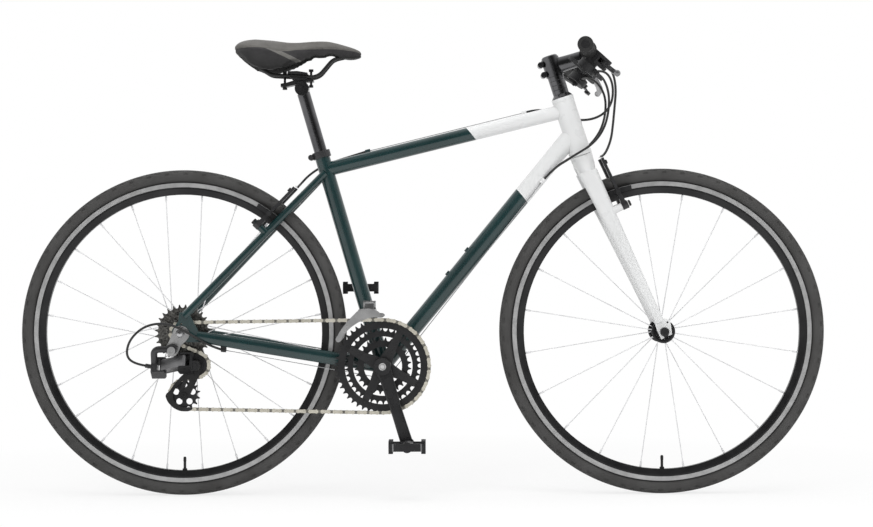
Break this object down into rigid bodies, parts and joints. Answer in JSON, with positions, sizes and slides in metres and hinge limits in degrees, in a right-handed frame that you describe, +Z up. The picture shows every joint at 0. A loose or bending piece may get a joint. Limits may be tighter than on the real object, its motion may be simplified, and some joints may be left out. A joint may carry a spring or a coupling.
{
  "type": "hybrid bicycle",
  "caption": "Flat-bar hybrid bicycle with a rigid fork, rim brakes, chain drive with two derailleurs, and a padded saddle.",
  "frame": {"origin": "on the ground, in the middle plane, halfway between the two wheel axles", "axes": "+X towards the front wheel, +Y to the rider's left, +Z up"},
  "size_m": [1.694, 0.591, 0.958],
  "materials": {
    "frame_paint": "gloss, dark green at the back and white at the front",
    "fork_paint": "gloss white",
    "black_alloy": "satin black anodised",
    "silver_alloy": "satin",
    "bright_steel": "plated",
    "chain_steel": "plated",
    "black_steel": "satin black",
    "tyre_rubber": "matt",
    "grip_rubber": "matt",
    "black_plastic": "matt",
    "housing_plastic": "satin",
    "saddle_skin": "satin synthetic"
  },
  "bodies": {
    "frame": {"main_triangle": "frame_paint", "rear_triangle": "frame_paint", "seat_collar": "black_alloy", "headset_bearings": "bright_steel", "bottom_bracket": "bright_steel", "front_derailleur_body": "silver_alloy", "rear_derailleur_body": "black_alloy", "rear_axle": "bright_steel", "frame_cables": "housing_plastic", "chain_outer_links": "chain_steel", "chain_inner_links": "chain_steel"},
    "seat_post": {"seatpost": "black_alloy"},
    "saddle": {"saddle_clamp": "black_alloy", "saddle_rails": "bright_steel", "saddle_shell": "black_plastic", "saddle_cover": "saddle_skin"},
    "steering": {"fork_crown": "fork_paint", "fork_blades": "fork_paint", "headset_spacers": "black_alloy", "stem": "black_alloy", "stem_faceplate": "black_alloy", "handlebar": "black_alloy", "grips": "grip_rubber", "lever_brackets": "black_plastic", "front_axle": "bright_steel", "control_cables": "housing_plastic"},
    "front_wheel": {"front_tyre": "tyre_rubber", "front_rim": "black_alloy", "front_spokes": "bright_steel", "front_hub": "black_alloy"},
    "rear_wheel": {"rear_tyre": "tyre_rubber", "rear_rim": "black_alloy", "rear_spokes": "bright_steel", "rear_hub": "black_alloy"},
    "cassette": {"cassette": "bright_steel"},
    "crankset": {"crank_spindle": "bright_steel", "right_crank": "black_alloy", "left_crank": "black_alloy", "chainrings": "black_steel"},
    "right_pedal": {"right_pedal": "black_plastic"},
    "left_pedal": {"left_pedal": "black_plastic"},
    "left_brake_lever": {"left_brake_lever": "black_alloy"},
    "right_brake_lever": {"right_brake_lever": "black_alloy"},
    "left_shift_lever": {"left_shift_lever": "black_plastic"},
    "right_shift_lever": {"right_shift_lever": "black_plastic"},
    "left_release_trigger": {"left_release_trigger": "black_plastic"},
    "right_release_trigger": {"right_release_trigger": "black_plastic"},
    "front_brake_arm_left": {"front_brake_arm_left": "black_alloy"},
    "front_brake_arm_right": {"front_brake_arm_right": "black_alloy"},
    "rear_brake_arm_left": {"rear_brake_arm_left": "black_alloy"},
    "rear_brake_arm_right": {"rear_brake_arm_right": "black_alloy"},
    "rear_derailleur_outer_link": {"rear_derailleur_outer_link": "silver_alloy"},
    "rear_derailleur_inner_link": {"rear_derailleur_inner_link": "silver_alloy"},
    "rear_derailleur_cage": {"rear_derailleur_cage": "black_steel"},
    "guide_pulley": {"guide_pulley": "black_plastic"},
    "tension_pulley": {"tension_pulley": "black_plastic"},
    "front_derailleur_link": {"front_derailleur_link": "silver_alloy"},
    "front_derailleur_cage": {"front_derailleur_cage": "bright_steel"},
    "front_release_lever": {"front_release_lever": "black_alloy"},
    "rear_release_lever": {"rear_release_lever": "black_alloy"}
  },
  "joints": [
    {"name": "steering", "type": "hinge", "parent": "frame", "child": "steering", "pos_m": [0.33544, 0, 0.71328], "axis": [-0.304, 0, 0.9527], "range_deg": [-70, 70], "deforming": ["control_cables"]},
    {"name": "front_wheel_spin", "type": "hinge", "parent": "steering", "child": "front_wheel", "pos_m": [0.504, 0, 0.343], "axis": [0, 1, 0], "continuous": true},
    {"name": "rear_wheel_spin", "type": "hinge", "parent": "frame", "child": "rear_wheel", "pos_m": [-0.504, 0, 0.343], "axis": [0, 1, 0], "continuous": true},
    {"name": "crank_spin", "type": "hinge", "parent": "frame", "child": "crankset", "pos_m": [-0.08379, 0, 0.273], "axis": [0, 1, 0], "continuous": true, "deforming": ["chain_outer_links", "chain_inner_links"]},
    {"name": "cassette_spin", "type": "hinge", "parent": "frame", "child": "cassette", "pos_m": [-0.504, 0, 0.343], "axis": [0, 1, 0], "continuous": true, "deforming": ["chain_outer_links", "chain_inner_links"]},
    {"name": "right_pedal_spin", "type": "hinge", "parent": "crankset", "child": "right_pedal", "pos_m": [-0.03239, -0.124, 0.11096], "axis": [0, 1, 0], "continuous": true},
    {"name": "left_pedal_spin", "type": "hinge", "parent": "crankset", "child": "left_pedal", "pos_m": [-0.13519, 0.124, 0.43504], "axis": [0, 1, 0], "continuous": true},
    {"name": "seat_height", "type": "slide", "parent": "frame", "child": "seat_post", "axis": [-0.279, 0, 0.9603], "range_m": [-0.11, 0.06]},
    {"name": "saddle_tilt", "type": "hinge", "parent": "seat_post", "child": "saddle", "pos_m": [-0.25342, 0, 0.85686], "axis": [0, 1, 0], "range_deg": [-12, 12]},
    {"name": "rear_shift", "type": "slide", "parent": "frame", "child": "rear_derailleur_cage", "axis": [0, 0.8572, -0.515], "range_m": [0, 0.0392], "deforming": ["chain_outer_links", "chain_inner_links"]},
    {"name": "rear_outer_link_swing", "type": "hinge", "parent": "frame", "child": "rear_derailleur_outer_link", "pos_m": [-0.5414, -0.07363, 0.27557], "axis": [0, 0.515, 0.8572], "range_deg": [0, 46.3]},
    {"name": "rear_inner_link_swing", "type": "hinge", "parent": "frame", "child": "rear_derailleur_inner_link", "pos_m": [-0.5414, -0.06077, 0.26784], "axis": [0, 0.515, 0.8572], "range_deg": [0, 46.3]},
    {"name": "guide_pulley_spin", "type": "hinge", "parent": "rear_derailleur_cage", "child": "guide_pulley", "pos_m": [-0.4724, -0.058, 0.2768], "axis": [0, 1, 0], "continuous": true, "deforming": ["chain_outer_links", "chain_inner_links"]},
    {"name": "tension_pulley_spin", "type": "hinge", "parent": "rear_derailleur_cage", "child": "tension_pulley", "pos_m": [-0.49768, -0.058, 0.21583], "axis": [0, 1, 0], "continuous": true, "deforming": ["chain_outer_links", "chain_inner_links"]},
    {"name": "front_shift", "type": "slide", "parent": "frame", "child": "front_derailleur_cage", "axis": [0, 1, 0], "range_m": [0, 0.015], "deforming": ["chain_outer_links", "chain_inner_links"]},
    {"name": "front_link_swing", "type": "hinge", "parent": "frame", "child": "front_derailleur_link", "pos_m": [-0.10979, -0.037, 0.401], "axis": [1, 0, 0], "range_deg": [0, 36.5]},
    {"name": "front_release_swing", "type": "hinge", "parent": "steering", "child": "front_release_lever", "pos_m": [0.504, 0.0694, 0.343], "axis": [-0.9053, 0, -0.4247], "range_deg": [0, 165]},
    {"name": "rear_release_swing", "type": "hinge", "parent": "frame", "child": "rear_release_lever", "pos_m": [-0.504, 0.0879, 0.343], "axis": [0, 0, 1], "range_deg": [0, 165]},
    {"name": "left_brake_lever_pull", "type": "hinge", "parent": "steering", "child": "left_brake_lever", "pos_m": [0.37258, 0.148, 0.89437], "axis": [0.6665, 0.089, 0.7402], "range_deg": [0, 22], "stiffness_Nm_per_rad": 1, "springref_deg": -3.44},
    {"name": "left_shift_lever_push", "type": "hinge", "parent": "steering", "child": "left_shift_lever", "pos_m": [0.33117, 0.14904, 0.87884], "axis": [-0.6665, -0.089, -0.7402], "range_deg": [0, 35], "stiffness_Nm_per_rad": 0.15, "springref_deg": -5.73},
    {"name": "left_release_trigger_pull", "type": "hinge", "parent": "steering", "child": "left_release_trigger", "pos_m": [0.35431, 0.16767, 0.87198], "axis": [0.6665, 0.089, 0.7402], "range_deg": [0, 15], "stiffness_Nm_per_rad": 0.1, "springref_deg": -5.73},
    {"name": "right_brake_lever_pull", "type": "hinge", "parent": "steering", "child": "right_brake_lever", "pos_m": [0.37258, -0.148, 0.89437], "axis": [-0.6665, 0.089, -0.7402], "range_deg": [0, 22], "stiffness_Nm_per_rad": 1, "springref_deg": -3.44},
    {"name": "right_shift_lever_push", "type": "hinge", "parent": "steering", "child": "right_shift_lever", "pos_m": [0.33117, -0.14904, 0.87884], "axis": [0.6665, -0.089, 0.7402], "range_deg": [0, 35], "stiffness_Nm_per_rad": 0.15, "springref_deg": -5.73},
    {"name": "right_release_trigger_pull", "type": "hinge", "parent": "steering", "child": "right_release_trigger", "pos_m": [0.35431, -0.16767, 0.87198], "axis": [-0.6665, 0.089, -0.7402], "range_deg": [0, 15], "stiffness_Nm_per_rad": 0.1, "springref_deg": -5.73},
    {"name": "front_brake_arm_left_swing", "type": "hinge", "parent": "steering", "child": "front_brake_arm_left", "pos_m": [0.42339, 0.04, 0.60784], "axis": [0.9053, 0, 0.4247], "range_deg": [0, 2.42]},
    {"name": "front_brake_arm_right_swing", "type": "hinge", "parent": "steering", "child": "front_brake_arm_right", "pos_m": [0.42339, -0.04, 0.60784], "axis": [-0.9053, 0, -0.4247], "range_deg": [0, 2.42]},
    {"name": "rear_brake_arm_left_swing", "type": "hinge", "parent": "frame", "child": "rear_brake_arm_left", "pos_m": [-0.3446, 0.04, 0.56872], "axis": [0.7175, 0, -0.6965], "range_deg": [0, 2.42]},
    {"name": "rear_brake_arm_right_swing", "type": "hinge", "parent": "frame", "child": "rear_brake_arm_right", "pos_m": [-0.3446, -0.04, 0.56872], "axis": [-0.7175, 0, 0.6965], "range_deg": [0, 2.42]}
  ],
  "couplings": [
    {"joint": "cassette_spin", "follows": "crank_spin", "ratio": 4.3636},
    {"joint": "guide_pulley_spin", "follows": "crank_spin", "ratio": -3.6923},
    {"joint": "tension_pulley_spin", "follows": "crank_spin", "ratio": 3.2},
    {"joint": "rear_outer_link_swing", "follows": "rear_shift", "rad_per_m": 20.551},
    {"joint": "rear_inner_link_swing", "follows": "rear_shift", "rad_per_m": 20.551},
    {"joint": "front_link_swing", "follows": "front_shift", "rad_per_m": 42.376},
    {"joint": "front_brake_arm_left_swing", "follows": "right_brake_lever_pull", "ratio": 0.109},
    {"joint": "front_brake_arm_right_swing", "follows": "right_brake_lever_pull", "ratio": 0.109},
    {"joint": "rear_brake_arm_left_swing", "follows": "left_brake_lever_pull", "ratio": 0.109},
    {"joint": "rear_brake_arm_right_swing", "follows": "left_brake_lever_pull", "ratio": 0.109}
  ]
}
